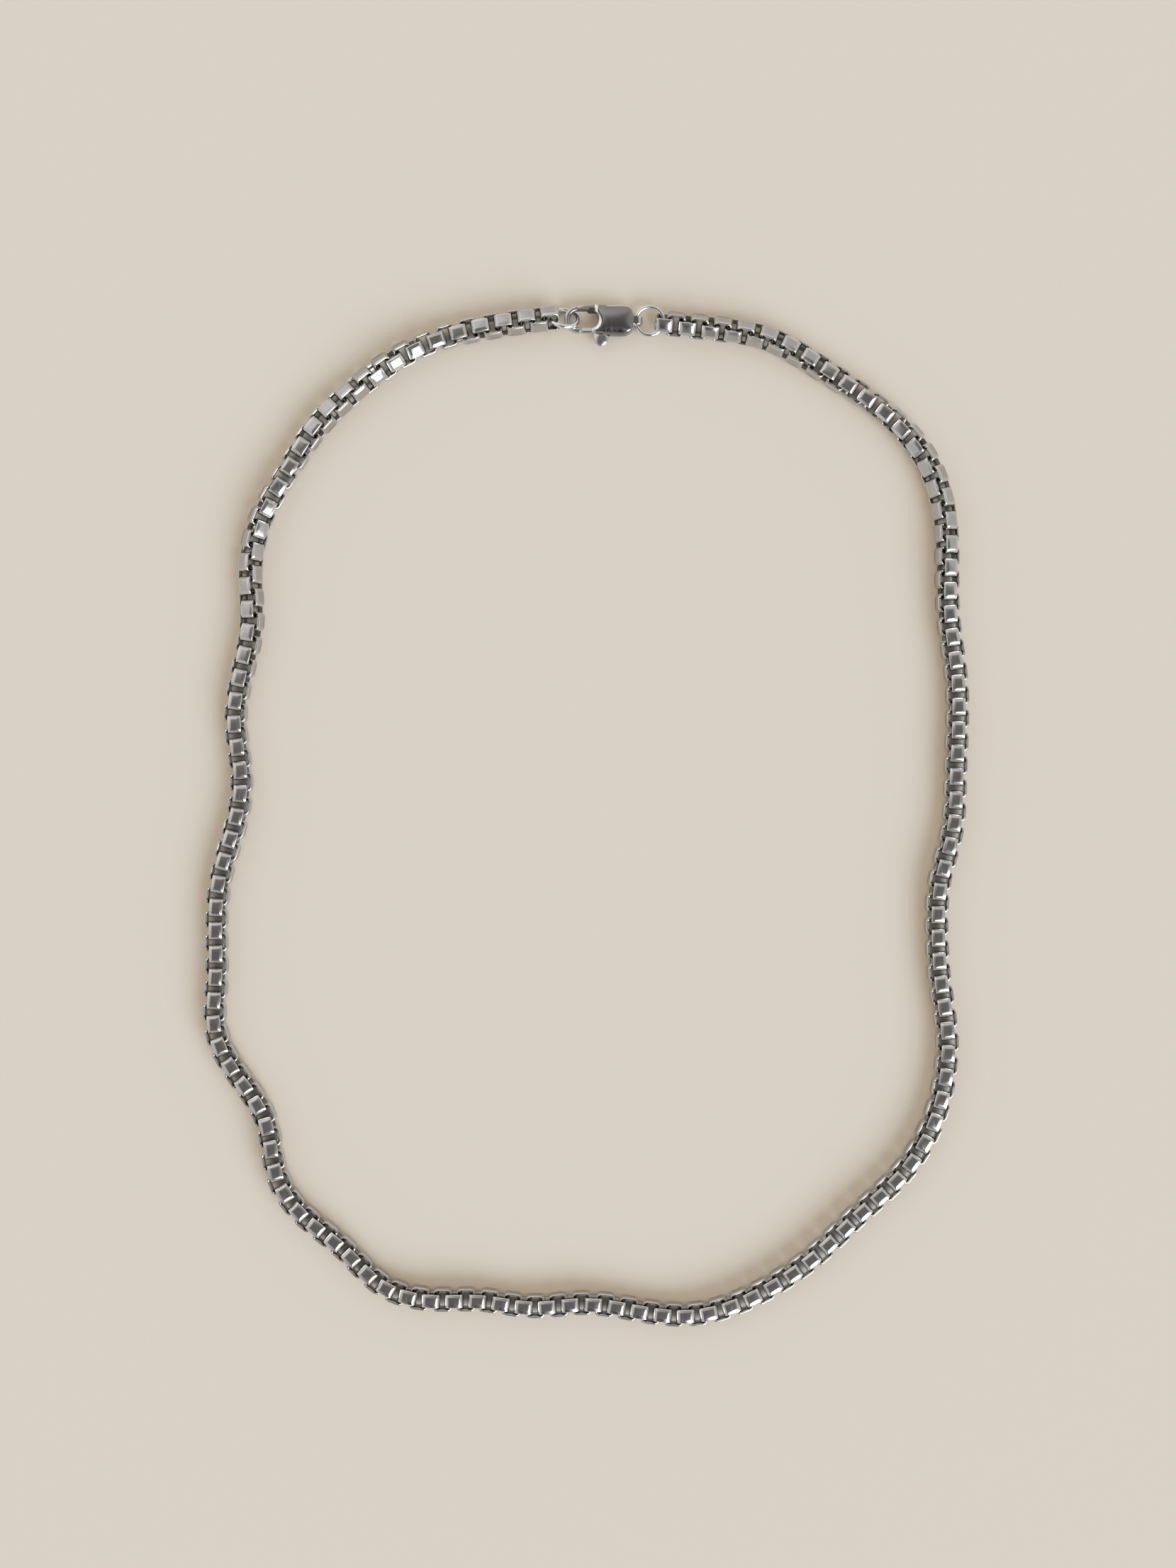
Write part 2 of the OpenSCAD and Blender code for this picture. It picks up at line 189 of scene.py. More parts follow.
# The room, seen from the necklace: where each light or dark patch is, the angles in degrees from
# its middle at which it starts to fade and ends, and what it adds to the light
ROOM_LIGHTS = (
    ((0, 0, -1), 60, 100, (0.42, 0.39, 0.35)),
    ((0, 0, 1), 95, 104, (0.74, 0.73, 0.71)),
    ((0.13, -0.3, 1), 26, 46, (-0.54, -0.54, -0.53)),
    ((0.0, 0.24, 1), 4, 17, (0.06, 0.045, 0.035)),
    ((0.1, -0.62, 1), 6, 16, (0.02, 0.03, 0.04)),
    ((0.05, -0.95, 0.5), 6, 34, (-0.32, -0.32, -0.31)),
    ((0.64, -0.77, 0.78), 14, 27, (6.2, 6.2, 6.2)),
    ((-0.7, 0.7, 0.75), 10, 42, (0.3, 0.3, 0.3)),
)


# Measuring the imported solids


def solid_arrays(node):
    """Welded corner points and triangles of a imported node."""
    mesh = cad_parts[node].data
    co = np.zeros(len(mesh.vertices) * 3, np.float32)
    mesh.vertices.foreach_get("co", co)
    co = co.reshape(-1, 3).astype(float)
    mesh.calc_loop_triangles()
    tris = np.zeros(len(mesh.loop_triangles) * 3, np.int32)
    mesh.loop_triangles.foreach_get("vertices", tris)
    welded, where = np.unique(np.round(co / 1e-7).astype(np.int64), axis=0, return_inverse=True)
    return welded * 1e-7, where.reshape(-1)[tris].reshape(-1, 3)


def solid_labels(count, tris):
    """One label per point, the same for all the points of one solid."""
    label = np.arange(count)
    while True:
        before = label.copy()
        low = label[tris].min(axis=1)
        for k in range(3):
            np.minimum.at(label, tris[:, k], low)
        label = label[label]
        if (label == before).all():
            return label


def middle_and_axes(co, tris):
    """Middle of a closed solid and its own axes, from the least spread to the widest."""
    a, b, c = co[tris[:, 0]], co[tris[:, 1]], co[tris[:, 2]]
    base = co.mean(axis=0)
    a, b, c = a - base, b - base, c - base
    part = np.einsum("ij,ij->i", a, np.cross(b, c)) / 6
    total = part.sum()
    middle = ((a + b + c) * part[:, None]).sum(axis=0) / 4 / total
    s = a + b + c
    spread = sum(np.einsum("i,ij,ik->jk", part, p, p) for p in (a, b, c, s)) / 20 / total
    spread -= np.outer(middle, middle)
    axes = np.linalg.eigh(spread)[1]
    return middle + base, axes


def link_places():
    """Middle and turn of each link, with X along the chain and Z across its flat plates."""
    co, tris = solid_arrays("box_chain")
    label = solid_labels(len(co), tris)
    of_tri = label[tris[:, 0]]
    places = []
    for name in np.unique(of_tri):
        middle, axes = middle_and_axes(co, tris[of_tri == name])
        along, width, across = axes[:, 1], axes[:, 0], axes[:, 2]
        if along[1] < 0:
            along = -along
        if across[2] < 0:
            across = -across
        width = np.cross(across, along)
        turn = Matrix(np.column_stack([along, width, across]).tolist())
        places.append((middle, turn.to_euler("XYZ")))
    return sorted(places, key=lambda p: math.atan2(p[0][0], p[0][1]) % (2 * math.pi))


# Shared surface effects


def add(tree, kind, **values):
    """A node of this kind, with its settings and its unlinked inputs filled in."""
    node = tree.nodes.new(kind)
    for name, value in values.items():
        if hasattr(node, name):
            setattr(node, name, value)
        else:
            node.inputs[name].default_value = value
    return node


def soft_step(tree, value, come, go=(0.0, 1.0)):
    """The value, led softly from the range it comes in to the range it goes out with."""
    node = add(tree, "ShaderNodeMapRange", interpolation_type="SMOOTHSTEP")
    for name, size in zip(("From Min", "From Max", "To Min", "To Max"), (*come, *go)):
        node.inputs[name].default_value = size
    tree.links.new(value, node.inputs["Value"])
    return node.outputs["Result"]


def polish_marks():
    """Hand-polished metal: cloudy roughness, short hair scratches and a slow change of tone."""
    group = bpy.data.node_groups.new("polish marks", "ShaderNodeTree")
    face = group.interface
    face.new_socket("Place", in_out="INPUT", socket_type="NodeSocketVector")
    for name, value in (
        ("Cloud Size", 900.0),
        ("Scratch Size", 2600.0),
        ("Smooth", 0.12),
        ("Dull", 0.3),
        ("Scratch Strength", 0.25),
        ("Wave Size", 420.0),
        ("Wave Depth", 3.0),
    ):
        face.new_socket(name, in_out="INPUT", socket_type="NodeSocketFloat").default_value = value
    for name in ("Roughness", "Height", "Tone"):
        face.new_socket(name, in_out="OUTPUT", socket_type="NodeSocketFloat")
    come, go = group.nodes.new("NodeGroupInput"), group.nodes.new("NodeGroupOutput")
    link = group.links.new
    cloud = add(group, "ShaderNodeTexNoise", Detail=4.0, Roughness=0.6)
    link(come.outputs["Place"], cloud.inputs["Vector"])
    link(come.outputs["Cloud Size"], cloud.inputs["Scale"])
    ways = []
    for turn in HAIR_TURNS:
        bend = add(group, "ShaderNodeMapping", vector_type="POINT")
        bend.inputs["Rotation"].default_value = turn
        bend.inputs["Scale"].default_value = HAIR_STRETCH
        hair = add(group, "ShaderNodeTexNoise", Detail=2.0, Roughness=0.5)
        link(come.outputs["Place"], bend.inputs["Vector"])
        link(bend.outputs["Vector"], hair.inputs["Vector"])
        link(come.outputs["Scratch Size"], hair.inputs["Scale"])
        ways.append(soft_step(group, hair.outputs["Fac"], HAIR_SHARE))
    first = add(group, "ShaderNodeMath", operation="MAXIMUM")
    both = add(group, "ShaderNodeMath", operation="MAXIMUM")
    link(ways[0], first.inputs[0])
    link(ways[1], first.inputs[1])
    link(first.outputs[0], both.inputs[0])
    link(ways[2], both.inputs[1])
    marks = add(group, "ShaderNodeMath", operation="MULTIPLY")
    link(both.outputs[0], marks.inputs[0])
    link(come.outputs["Scratch Strength"], marks.inputs[1])
    fog = soft_step(group, cloud.outputs["Fac"], CLOUD_SHARE)
    link(come.outputs["Smooth"], fog.node.inputs["To Min"])
    link(come.outputs["Dull"], fog.node.inputs["To Max"])
    rough = add(group, "ShaderNodeMath", operation="MULTIPLY_ADD")
    link(marks.outputs[0], rough.inputs[0])
    rough.inputs[1].default_value = HAIR_DULLING
    link(fog, rough.inputs[2])
    link(rough.outputs[0], go.inputs["Roughness"])
    drop = add(group, "ShaderNodeMath", operation="SUBTRACT")
    drop.inputs[0].default_value = 1.0
    link(marks.outputs[0], drop.inputs[1])
    wave = add(group, "ShaderNodeTexNoise", Detail=1.0)
    link(come.outputs["Place"], wave.inputs["Vector"])
    link(come.outputs["Wave Size"], wave.inputs["Scale"])
    high = add(group, "ShaderNodeMath", operation="MULTIPLY_ADD")
    link(wave.outputs["Fac"], high.inputs[0])
    link(come.outputs["Wave Depth"], high.inputs[1])
    link(drop.outputs[0], high.inputs[2])
    link(high.outputs[0], go.inputs["Height"])
    link(cloud.outputs["Fac"], go.inputs["Tone"])
    return group


def steel(name, marks):
    """Polished steel: its colour drifts between two tones, its gloss follows the polish marks."""
    bright, shade, smooth, dull, wave = METALS[name]
    metal = bpy.data.materials.new(name)
    metal.use_nodes = True
    tree = metal.node_tree
    shader = tree.nodes["Principled BSDF"]
    shader.inputs["Metallic"].default_value = 1.0
    place = tree.nodes.new("ShaderNodeTexCoord")
    effect = tree.nodes.new("ShaderNodeGroup")
    effect.node_tree = marks
    effect.inputs["Wave Depth"].default_value = wave
    effect.inputs["Smooth"].default_value = smooth
    effect.inputs["Dull"].default_value = dull
    effect.inputs["Scratch Strength"].default_value = HAIR_STRENGTH
    tree.links.new(place.outputs["Object"], effect.inputs["Place"])
    tone = tree.nodes.new("ShaderNodeMix")
    tone.data_type = "RGBA"
    tone.inputs["A"].default_value = (*shade, 1)
    tone.inputs["B"].default_value = (*bright, 1)
    tree.links.new(effect.outputs["Tone"], tone.inputs["Factor"])
    tree.links.new(tone.outputs["Result"], shader.inputs["Base Color"])
    tree.links.new(effect.outputs["Roughness"], shader.inputs["Roughness"])
    bump = add(tree, "ShaderNodeBump", Strength=POLISH_STRENGTH, Distance=POLISH_LIFT)
    tree.links.new(effect.outputs["Height"], bump.inputs["Height"])
    tree.links.new(bump.outputs["Normal"], shader.inputs["Normal"])
    return metal


def tint_by(metal, attribute, colour, share=1.0):
    """Gives the metal another tone where the piece's own mask attribute says so."""
    mask = add(metal.node_tree, "ShaderNodeAttribute", attribute_name=attribute)
    tint_where(metal, mask.outputs["Fac"], colour, share)


def tint_where(metal, mask, colour, share=1.0):
    """Gives the metal another tone where the mask, a socket of its own tree, is high."""
    tree = metal.node_tree
    shader = tree.nodes["Principled BSDF"]
    link = shader.inputs["Base Color"].links[0]
    source = link.from_socket
    part = add(tree, "ShaderNodeMath", operation="MULTIPLY")
    part.inputs[1].default_value = share
    tree.links.new(mask, part.inputs[0])
    mix = tree.nodes.new("ShaderNodeMix")
    mix.data_type = "RGBA"
    mix.inputs["B"].default_value = (*colour, 1)
    tree.links.new(part.outputs[0], mix.inputs["Factor"])
    tree.links.new(source, mix.inputs["A"])
    tree.links.new(mix.outputs["Result"], shader.inputs["Base Color"])


def round_plates_and_paint_middles(metal):
    """Each plate is flat and falls away softly to its edges; its middle is painted darker, a
    painted dark reflection.
    """
    tree = metal.node_tree
    link = tree.links.new
    place = add(tree, "ShaderNodeAttribute", attribute_name="in_link")
    split = tree.nodes.new("ShaderNodeSeparateXYZ")
    link(place.outputs["Vector"], split.inputs["Vector"])
    shares = []
    for axis, half in (("X", LINK_LENGTH / 2), ("Y", STRIP_WIDTH / 2)):
        size = add(tree, "ShaderNodeMath", operation="ABSOLUTE")
        share = add(tree, "ShaderNodeMath", operation="DIVIDE")
        link(split.outputs[axis], size.inputs[0])
        link(size.outputs[0], share.inputs[0])
        share.inputs[1].default_value = half
        shares.append(share.outputs[0])
    far = add(tree, "ShaderNodeMath", operation="SMOOTH_MAX")
    link(shares[0], far.inputs[0])
    link(shares[1], far.inputs[1])
    far.inputs[2].default_value = PLATE_CORNER
    middle = soft_step(tree, far.outputs[0], (PLATE_FLAT, 1.0), (1.0, 0.0))
    tint_where(metal, middle, PLATE_PAINTED_REFLECTION, PLATE_REFLECTION_SHARE)
    shader = tree.nodes["Principled BSDF"]
    fine = shader.inputs["Normal"].links[0].from_socket
    fall = add(tree, "ShaderNodeBump", Strength=1.0, Distance=PLATE_FALL)
    link(middle, fall.inputs["Height"])
    link(fine, fall.inputs["Normal"])
    link(fall.outputs["Normal"], shader.inputs["Normal"])


# The chain


def link_maker():
    """Geometry nodes that bend one strip into a link and set a copy on every place."""
    tree = bpy.data.node_groups.new("box chain links", "GeometryNodeTree")
    face = tree.interface
    face.new_socket("Places", in_out="INPUT", socket_type="NodeSocketGeometry")
    sizes = (
        ("Strip Width", STRIP_WIDTH),
        ("Strip Thickness", STRIP_THICKNESS),
        ("Link Length", LINK_LENGTH),
        ("Link Across", LINK_ACROSS),
        ("Bend Radius", BEND_RADIUS),
        ("Edge Ease", EDGE_EASE),
    )
    for name, value in sizes:
        face.new_socket(name, in_out="INPUT", socket_type="NodeSocketFloat").default_value = value
    seed = face.new_socket("Seed", in_out="INPUT", socket_type="NodeSocketInt")
    seed.default_value = TONE_SEED
    face.new_socket("Metal", in_out="INPUT", socket_type="NodeSocketMaterial")
    face.new_socket("Links", in_out="OUTPUT", socket_type="NodeSocketGeometry")
    come, go = tree.nodes.new("NodeGroupInput"), tree.nodes.new("NodeGroupOutput")
    link = tree.links.new

    def less(a, b):
        node = add(tree, "ShaderNodeMath", operation="SUBTRACT")
        link(come.outputs[a], node.inputs[0])
        link(come.outputs[b], node.inputs[1])
        return node.outputs[0]

    loop = add(tree, "GeometryNodeCurvePrimitiveQuadrilateral")
    link(less("Link Length", "Strip Thickness"), loop.inputs["Width"])
    link(less("Link Across", "Strip Thickness"), loop.inputs["Height"])
    bends = add(tree, "GeometryNodeFilletCurve", mode="POLY")
    bends.inputs["Count"].default_value = BEND_FACES
    link(loop.outputs["Curve"], bends.inputs["Curve"])
    link(come.outputs["Bend Radius"], bends.inputs["Radius"])
    section = add(tree, "GeometryNodeCurvePrimitiveQuadrilateral")
    link(come.outputs["Strip Thickness"], section.inputs["Width"])
    link(come.outputs["Strip Width"], section.inputs["Height"])
    ease = add(tree, "GeometryNodeFilletCurve", mode="POLY")
    ease.inputs["Count"].default_value = EDGE_FACES
    link(section.outputs["Curve"], ease.inputs["Curve"])
    corner = tree.nodes.new("GeometryNodeInputPosition")
    split = tree.nodes.new("ShaderNodeSeparateXYZ")
    outer = add(tree, "ShaderNodeMath", operation="GREATER_THAN")
    eased = add(tree, "ShaderNodeMath", operation="MULTIPLY")
    link(corner.outputs["Position"], split.inputs["Vector"])
    link(split.outputs["X"], outer.inputs[0])
    outer.inputs[1].default_value = 0.0
    link(outer.outputs[0], eased.inputs[0])
    link(come.outputs["Edge Ease"], eased.inputs[1])
    link(eased.outputs[0], ease.inputs["Radius"])
    sweep = tree.nodes.new("GeometryNodeCurveToMesh")
    link(bends.outputs["Curve"], sweep.inputs["Curve"])
    link(ease.outputs["Curve"], sweep.inputs["Profile Curve"])
    weld = tree.nodes.new("GeometryNodeMergeByDistance")
    weld.inputs["Distance"].default_value = WELD
    link(sweep.outputs["Mesh"], weld.inputs["Geometry"])
    upright = tree.nodes.new("GeometryNodeTransform")
    upright.inputs["Rotation"].default_value = (math.pi / 2, 0, 0)
    link(weld.outputs["Geometry"], upright.inputs["Geometry"])
    at = tree.nodes.new("GeometryNodeInputPosition")
    keep = add(tree, "GeometryNodeStoreNamedAttribute", data_type="FLOAT_VECTOR", domain="POINT")
    keep.inputs["Name"].default_value = "in_link"
    link(upright.outputs["Geometry"], keep.inputs["Geometry"])
    link(at.outputs["Position"], keep.inputs["Value"])
    turn = add(tree, "GeometryNodeInputNamedAttribute", data_type="FLOAT_VECTOR")
    turn.inputs["Name"].default_value = "turn"
    spin = tree.nodes.new("FunctionNodeEulerToRotation")
    link(turn.outputs["Attribute"], spin.inputs["Euler"])
    copies = tree.nodes.new("GeometryNodeInstanceOnPoints")
    link(come.outputs["Places"], copies.inputs["Points"])
    link(keep.outputs["Geometry"], copies.inputs["Instance"])
    link(spin.outputs["Rotation"], copies.inputs["Rotation"])
    chance = add(tree, "FunctionNodeRandomValue", data_type="FLOAT")
    link(come.outputs["Seed"], chance.inputs["Seed"])
    tone = add(tree, "GeometryNodeStoreNamedAttribute", data_type="FLOAT", domain="INSTANCE")
    tone.inputs["Name"].default_value = "link_tone"
    link(copies.outputs["Instances"], tone.inputs["Geometry"])
    link(chance.outputs[1], tone.inputs["Value"])
    real = tree.nodes.new("GeometryNodeRealizeInstances")
    link(tone.outputs["Geometry"], real.inputs["Geometry"])
    smooth = tree.nodes.new("GeometryNodeSetShadeSmooth")
    link(real.outputs["Geometry"], smooth.inputs["Geometry"])
    dress = tree.nodes.new("GeometryNodeSetMaterial")
    link(smooth.outputs["Geometry"], dress.inputs["Geometry"])
    link(come.outputs["Metal"], dress.inputs["Material"])
    link(dress.outputs["Geometry"], go.inputs["Links"])
    return tree


def make_chain(metal):
    """All the links of the chain as one mesh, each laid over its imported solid."""
    places = link_places()
    seeds = bpy.data.meshes.new("link places")
    seeds.from_pydata([tuple(p) for p, _ in places], [], [])
    turns = seeds.attributes.new("turn", "FLOAT_VECTOR", "POINT")
    turns.data.foreach_set("vector", np.array([tuple(t) for _, t in places]).ravel())
    holder = bpy.data.objects.new("link places", seeds)
    bpy.context.scene.collection.objects.link(holder)
    tree = link_maker()
    modifier = holder.modifiers.new("links", "NODES")
    modifier.node_group = tree
    for item in tree.interface.items_tree:
        if item.item_type == "SOCKET" and item.in_out == "INPUT" and item.name == "Metal":
            modifier[item.identifier] = metal
    holder.modifiers.new("flat plates", "WEIGHTED_NORMAL").keep_sharp = True
    chain = baked(holder, "chain_links")
    at = np.zeros(len(chain.data.vertices) * 3, np.float32)
    chain.data.attributes["in_link"].data.foreach_get("vector", at)
    at = at.reshape(-1, 3)
    # Marks the faces inside each link, which get a darker tone
    deep = INNER_SIDE * STRIP_THICKNESS
    inside = (abs(at[:, 0]) < LINK_LENGTH / 2 - deep) & (abs(at[:, 2]) < LINK_ACROSS / 2 - deep)
    link_inside = chain.data.attributes.new("link_inside", "FLOAT", "POINT")
    link_inside.data.foreach_set("value", inside.astype(np.float32))
    return chain


def baked(holder, name):
    """The evaluated object as a plain mesh object; its maker is removed."""
    graph = bpy.context.evaluated_depsgraph_get()
    mesh = bpy.data.meshes.new_from_object(
        holder.evaluated_get(graph), preserve_all_data_layers=True, depsgraph=graph
    )
    mesh.name = name
    made = bpy.data.objects.new(name, mesh)
    bpy.context.scene.collection.objects.link(made)
    bpy.data.objects.remove(holder)
    return made


# Castings: shapes given by a distance, then skinned


def round_box(px, py, half_x, half_y, radius):
    """Distance to a flat rectangle with round corners."""
    qx, qy = abs(px) - half_x + radius, abs(py) - half_y + radius
    outside = np.hypot(np.maximum(qx, 0), np.maximum(qy, 0))
    return outside + np.minimum(np.maximum(qx, qy), 0) - radius


def both(a, b, ease):
    """Where both shapes are, with the edge between them eased."""
    h = np.maximum(ease - abs(a - b), 0)
    return np.maximum(a, b) + h * h / (4 * ease)


def either(a, b, ease):
    """Where either shape is, with the corner between them filled."""
    return -both(-a, -b, ease)


def lever_sweep(x, y):
    """Plan of the space that the lever needs inside the body."""
    clear = HUB_RADIUS_MM + LEVER_ROOM_MM
    slope = math.tan(LEVER_SWING)
    edge_x = PIVOT_MM[0] + clear * math.sin(LEVER_SWING)
    edge_y = PIVOT_MM[1] + clear * math.cos(LEVER_SWING)
    above = (y - edge_y + (x - edge_x) * slope) * math.cos(LEVER_SWING)
    tab_side = TAB_MIDDLE_MM + TAB_HALF_MM + LEVER_ROOM_MM
    back = x - np.where(y < PIVOT_MM[1] - clear, tab_side, PIVOT_MM[0])
    wedge = np.maximum(np.maximum(above, back), GATE_START_MM - x)
    hub = np.hypot(x - PIVOT_MM[0], y - PIVOT_MM[1]) - clear
    return np.minimum(wedge, hub)


def eye_hole(x, y):
    """Plan of the opening inside the hook."""
    middle = (EYE_LEFT_MM + EYE_RIGHT_MM) / 2
    half = (EYE_RIGHT_MM - EYE_LEFT_MM) / 2
    return round_box(x - middle, y, half, EYE_HALF_WIDTH_MM, EYE_CORNER_MM)


def rim_edge(x, y):
    """Plan distance beyond the rim's outer edge, which swings in an S past the opening."""
    middle_x, middle_y, radius = RIM_ROUND_MM
    bowl = np.hypot(np.maximum(x - middle_x, 0), y - middle_y) - radius
    return either(bowl, np.maximum(x - RIM_TOP_MM[0], RIM_TOP_MM[1] - y), SHELL_EASE_MM)


def eye_wall(x, y, z):
    """Distance into the metal from the flared wall of the opening."""
    return eye_hole(x, y) - EYE_FLARE * abs(z)


def ledge_shape(x, y, z):
    """Sunk ledge inside the long bar, beside the opening."""
    start, end, low = LEDGE_MM
    foot = low + LEDGE_FOOT_MM * np.clip(start + 0.5 - x, 0, 1)
    side = abs(x - (start + end) / 2) - (end - start) / 2
    side = np.maximum(side, abs(y - LEDGE_MIDDLE_MM) - LEDGE_HALF_WIDTH_MM)
    side = np.maximum(side, (foot - y) * 0.78)
    face = abs(z) - LEDGE_HALF_THICK_MM - LEDGE_RISE * (y - low)
    return both(side, face * 0.9, CUT_EASE_MM)


def face_height(across, half_span, half_rim):
    """Height of the body's round face, this far from its crown line."""
    bulge = BODY_HALF_THICK_MM - half_rim
    radius = (half_span**2 + bulge**2) / (2 * bulge)
    return BODY_HALF_THICK_MM - radius + np.sqrt(np.maximum(radius**2 - across**2, 0.5))


def clasp_body_shape(x, y, z):
    """Cast body with its hook, domed shell, rim around the opening and lug.

    A factor just below 1 brings the value of a slanted face back to about its true distance.
    """
    high = abs(z)
    grow = np.clip(x / (BODY_START_MM + 1), 0, 1)
    half = HOOK_HALF_THICK_MM + (ROOT_HALF_THICK_MM - HOOK_HALF_THICK_MM) * grow
    round_end = np.where(x < 0, abs(np.hypot(x, y) - HOOK_MIDLINE_MM), 9)
    top_bar = np.where(x >= 0, np.hypot(y - HOOK_MIDLINE_MM, np.maximum(x - 5, 0)), 9)
    tip = np.where(x >= 0, abs(y + HOOK_MIDLINE_MM), 9)
    bar = round_box(np.minimum(round_end, top_bar), high, HOOK_HALF_BAR_MM, half, HOOK_SOFT_MM)
    stub = round_box(tip, high, HOOK_HALF_BAR_MM, HOOK_HALF_THICK_MM, HOOK_SOFT_MM)
    stub = both(stub, x - HOOK_TIP_MM, CUT_EASE_MM)
    hook = np.minimum(bar, stub)

    middle_x = (BODY_START_MM + BODY_END_MM) / 2
    half_x = (BODY_END_MM - BODY_START_MM) / 2
    yb = y + BODY_DROP_MM
    plan = round_box(x - (middle_x - 2), yb, half_x + 2, BODY_HALF_WIDTH_MM, BODY_CORNER_MM)
    plan = both(plan, BODY_START_MM - x, ROOT_EASE_MM)
    fall = (BODY_DROP_MM + BODY_HALF_WIDTH_MM - HOOK_MIDLINE_MM - HOOK_HALF_BAR_MM) / (
        PIVOT_MM[0] - BODY_START_MM
    )
    below = -(y + HOOK_MIDLINE_MM + HOOK_HALF_BAR_MM) - (x - BODY_START_MM) * fall
    plan = both(plan, below, FLANK_EASE_MM)
    across = face_height(yb, BODY_HALF_WIDTH_MM, BODY_HALF_EDGE_MM)
    along = face_height(x - middle_x, half_x, BODY_HALF_END_MM)
    dome = either(across, along, FLANK_EASE_MM)
    shell = both(plan, (high - dome) * 0.9, SHELL_EASE_MM)

    edge = rim_edge(x, y)
    above_rim = (high - RIM_HALF_THICK_MM + RIM_DIP_MM * np.clip(-edge / RIM_SLOPE_MM, 0, 1)) * 0.88
    step = (edge - 0.5 * np.maximum(above_rim, 0)) * 0.9
    metal = either(hook, shell, ROOT_EASE_MM)
    metal = both(metal, -np.maximum(step, -above_rim), RIM_EASE_MM)
    metal = both(metal, -eye_wall(x, y, z), EYE_EASE_MM)
    metal = either(metal, ledge_shape(x, y, z), LEDGE_EASE_MM)
    slot = np.maximum(lever_sweep(x, y), high - SLOT_HALF_MM)
    metal = both(metal, -slot, SLOT_EASE_MM)

    ear = np.hypot(np.maximum(x - LUG_MIDDLE_MM, np.minimum(x - BODY_END_MM + 1, 0)), z)
    ear = both(ear - LUG_RADIUS_MM, abs(yb) - LUG_HALF_WIDTH_MM, LUG_EASE_MM)
    metal = either(metal, ear, ROOT_EASE_MM)
    hole = np.hypot(x - LUG_MIDDLE_MM, z) - LUG_HOLE_MM
    return both(metal, -hole, CUT_EASE_MM)


def lever_shape(x, y, z):
    """Sprung lever: gate, hub and rounded thumb tab."""
    arm_middle = (GATE_START_MM + PIVOT_MM[0]) / 2
    arm_half = (PIVOT_MM[0] - GATE_START_MM) / 2
    arm = round_box(y + HOOK_MIDLINE_MM, z, HOOK_HALF_BAR_MM, LEVER_HALF_MM, GATE_SOFT_MM)
    rise = y - GATE_RIDGE_MM
    upper, lower = (abs(z) - LEVER_HALF_MM + slope * rise for slope in GATE_SLOPES)
    arm = both(arm, np.maximum(upper * 0.92, lower * 0.86), LEDGE_EASE_MM)
    arm = both(arm, abs(x - arm_middle) - arm_half, CUT_EASE_MM)
    hub = np.hypot(x - PIVOT_MM[0], y - PIVOT_MM[1]) - HUB_RADIUS_MM
    hub = both(hub, abs(z) - LEVER_HALF_MM, HUB_EASE_MM)
    tab_y = TAB_LOW_MM + TAB_HALF_MM
    tab = np.hypot(x - TAB_MIDDLE_MM, np.minimum(y - tab_y, 0)) - TAB_HALF_MM
    tab = both(tab, y + HOOK_MIDLINE_MM, 0.1)
    down = np.minimum(y - TAB_BEND_MM[0], 0) / TAB_BEND_MM[1]
    fall = ((x - TAB_MIDDLE_MM) / TAB_HALF_MM) ** 2 + down**2
    tab = both(tab, (abs(z) - LEVER_HALF_MM + TAB_FALL_MM * fall) * 0.9, FLANK_EASE_MM)
    return either(np.minimum(arm, hub), tab, HUB_EASE_MM)


def skin(shape, low, high, step):
    """Quads around a shape: one point in each grid cell that its surface crosses."""
    axes = [np.arange(a, b + step, step) for a, b in zip(low, high)]
    grid = np.meshgrid(*axes, indexing="ij")
    value = shape(*grid)
    n = np.array(value.shape) - 1
    inside = value < 0
    corner = {
        (i, j, k): value[i : i + n[0], j : j + n[1], k : k + n[2]]
        for i in (0, 1)
        for j in (0, 1)
        for k in (0, 1)
    }
    full = sum((c < 0).astype(np.int8) for c in corner.values())
    cells = np.argwhere((full > 0) & (full < 8))
    number = -np.ones(tuple(n), np.int64)
    number[tuple(cells.T)] = np.arange(len(cells))
    total, hits = np.zeros((len(cells), 3)), np.zeros(len(cells))
    for start in corner:
        for axis in range(3):
            if start[axis]:
                continue
            end = tuple(1 if a == axis else s for a, s in enumerate(start))
            va = corner[start][tuple(cells.T)]
            vb = corner[end][tuple(cells.T)]
            cross = (va < 0) != (vb < 0)
            share = np.where(cross, va / np.where(cross, va - vb, 1), 0)
            spot = np.tile(np.array(start, float), (len(cells), 1))
            spot[:, axis] += share
            total[cross] += spot[cross]
            hits[cross] += 1
    points = np.array(low) + (cells + total / hits[:, None]) * step
    faces = []
    for axis in range(3):
        u, v = (axis + 1) % 3, (axis + 2) % 3
        near = [slice(1, -1)] * 3
        near[axis] = slice(0, -1)
        far = list(near)
        far[axis] = slice(1, None)
        a, b = inside[tuple(near)], inside[tuple(far)]
        for first, turned in ((a & ~b, False), (~a & b, True)):
            at = np.argwhere(first)
            at[:, u] += 1
            at[:, v] += 1
            ring = []
            for du, dv in ((1, 1), (0, 1), (0, 0), (1, 0)):
                cell = at.copy()
                cell[:, u] -= du
                cell[:, v] -= dv
                ring.append(number[tuple(cell.T)])
            quad = np.stack(ring, axis=1)
            faces.append(quad[:, ::-1] if turned else quad)
    return points, np.concatenate(faces)


def slope_at(shape, points, reach=0.01):
    """How the shape's distance changes along X, Y and Z at each point."""
    x, y, z = points.T
    return np.stack(
        [
            shape(x + reach, y, z) - shape(x - reach, y, z),
            shape(x, y + reach, z) - shape(x, y - reach, z),
            shape(x, y, z + reach) - shape(x, y, z - reach),
        ],
        axis=1,
    ) / (2 * reach)


